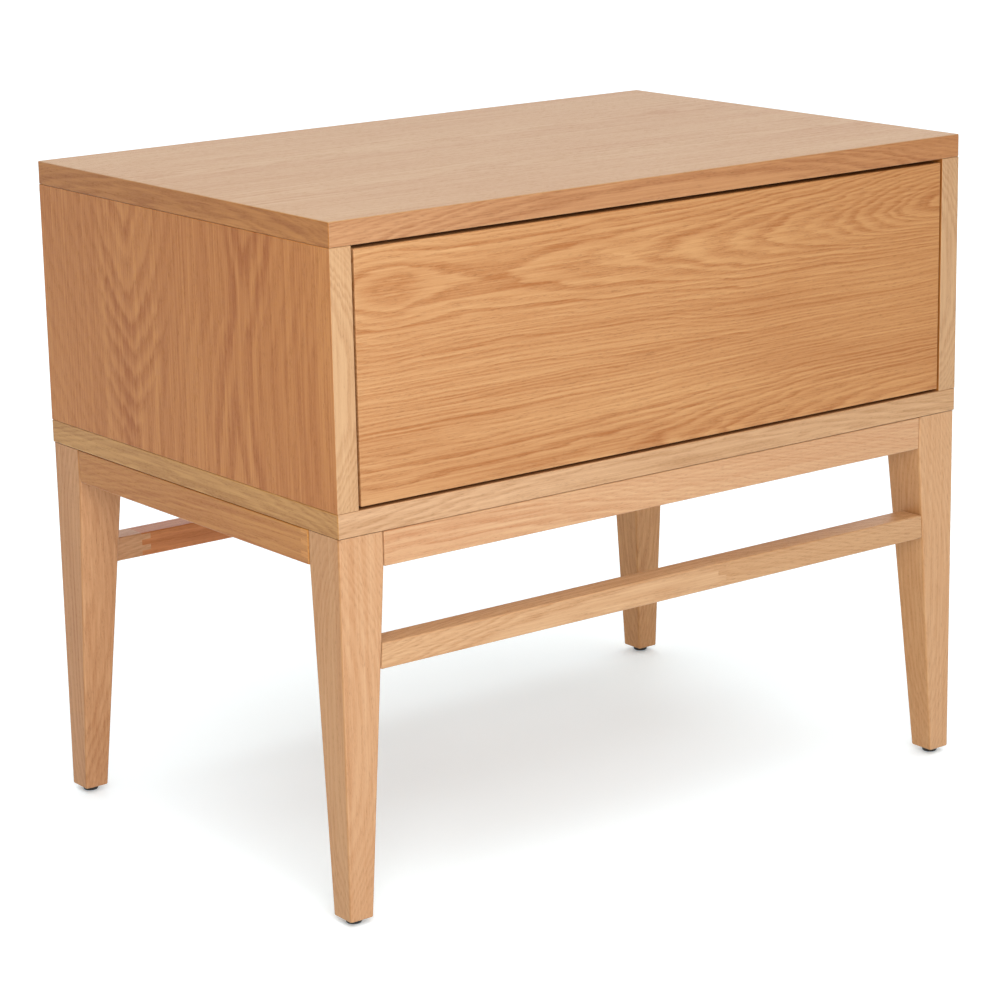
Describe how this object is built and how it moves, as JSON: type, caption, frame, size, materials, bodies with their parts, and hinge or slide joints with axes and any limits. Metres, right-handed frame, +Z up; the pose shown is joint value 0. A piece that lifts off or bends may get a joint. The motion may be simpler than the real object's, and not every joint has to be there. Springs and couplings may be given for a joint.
{
  "type": "bedside table",
  "caption": "Oak bedside table: a box with a push-to-open drawer on ball-bearing runners, standing on a tapered leg frame with stretchers.",
  "frame": {"origin": "on the floor under the middle of the table", "axes": "+X towards the table's right as seen from the front, -Y towards its front, +Z up"},
  "size_m": [0.6, 0.394, 0.51],
  "materials": {
    "oak_veneer": "clear satin lacquer over oak veneer",
    "solid_oak": "clear satin lacquer over solid oak",
    "pale_wood": "thin matt lacquer over birch and plywood",
    "zinc_steel": "bright zinc plate",
    "black_plastic": "moulded, slightly scuffed",
    "grey_plastic": "moulded"
  },
  "bodies": {
    "carcass": {"top_panel": "oak_veneer", "left_side_panel": "oak_veneer", "right_side_panel": "oak_veneer", "bottom_panel": "oak_veneer", "back_panel": "oak_veneer", "front_left_leg": "solid_oak", "front_right_leg": "solid_oak", "back_left_leg": "solid_oak", "back_right_leg": "solid_oak", "front_apron": "solid_oak", "back_apron": "solid_oak", "left_apron": "solid_oak", "right_apron": "solid_oak", "front_stretcher": "solid_oak", "back_stretcher": "solid_oak", "corner_block_front_left": "pale_wood", "corner_block_front_right": "pale_wood", "corner_block_back_left": "pale_wood", "corner_block_back_right": "pale_wood", "latch_block": "pale_wood", "left_cabinet_rail": "zinc_steel", "right_cabinet_rail": "zinc_steel", "latch_spring": "zinc_steel", "frame_screw_front_left": "zinc_steel", "frame_screw_front_right": "zinc_steel", "frame_screw_back_left": "zinc_steel", "frame_screw_back_right": "zinc_steel", "cabinet_rail_screw_left_front": "zinc_steel", "cabinet_rail_screw_left_back": "zinc_steel", "cabinet_rail_screw_right_front": "zinc_steel", "cabinet_rail_screw_right_back": "zinc_steel", "latch_screw_left": "zinc_steel", "latch_screw_right": "zinc_steel", "glide_front_left": "black_plastic", "glide_front_right": "black_plastic", "glide_back_left": "black_plastic", "glide_back_right": "black_plastic", "latch_housing": "grey_plastic"},
    "drawer": {"drawer_front": "oak_veneer", "drawer_sub_front": "pale_wood", "drawer_left_side": "pale_wood", "drawer_right_side": "pale_wood", "drawer_bottom": "pale_wood", "drawer_back": "pale_wood", "drawer_front_screw_left": "zinc_steel", "drawer_front_screw_right": "zinc_steel", "left_drawer_rail": "zinc_steel", "right_drawer_rail": "zinc_steel", "latch_strike": "zinc_steel", "drawer_rail_screw_left_front": "zinc_steel", "drawer_rail_screw_left_back": "zinc_steel", "drawer_rail_screw_right_front": "zinc_steel", "drawer_rail_screw_right_back": "zinc_steel"},
    "left_runner_middle": {"left_middle_rail": "zinc_steel"},
    "right_runner_middle": {"right_middle_rail": "zinc_steel"},
    "latch_plunger": {"latch_plunger": "black_plastic"}
  },
  "joints": [
    {"name": "drawer_slide", "type": "slide", "parent": "carcass", "child": "drawer", "axis": [0, -1, 0], "range_m": [-0.002, 0.29]},
    {"name": "left_runner_slide", "type": "slide", "parent": "carcass", "child": "left_runner_middle", "axis": [0, -1, 0], "range_m": [-0.001, 0.145]},
    {"name": "right_runner_slide", "type": "slide", "parent": "carcass", "child": "right_runner_middle", "axis": [0, -1, 0], "range_m": [-0.001, 0.145]},
    {"name": "latch_press", "type": "slide", "parent": "carcass", "child": "latch_plunger", "axis": [0, -1, 0], "range_m": [-0.003, 0], "stiffness_N_per_m": 400, "deforming": ["latch_spring"]}
  ],
  "couplings": [
    {"joint": "left_runner_slide", "follows": "drawer_slide", "ratio": 0.5},
    {"joint": "right_runner_slide", "follows": "drawer_slide", "ratio": 0.5}
  ]
}
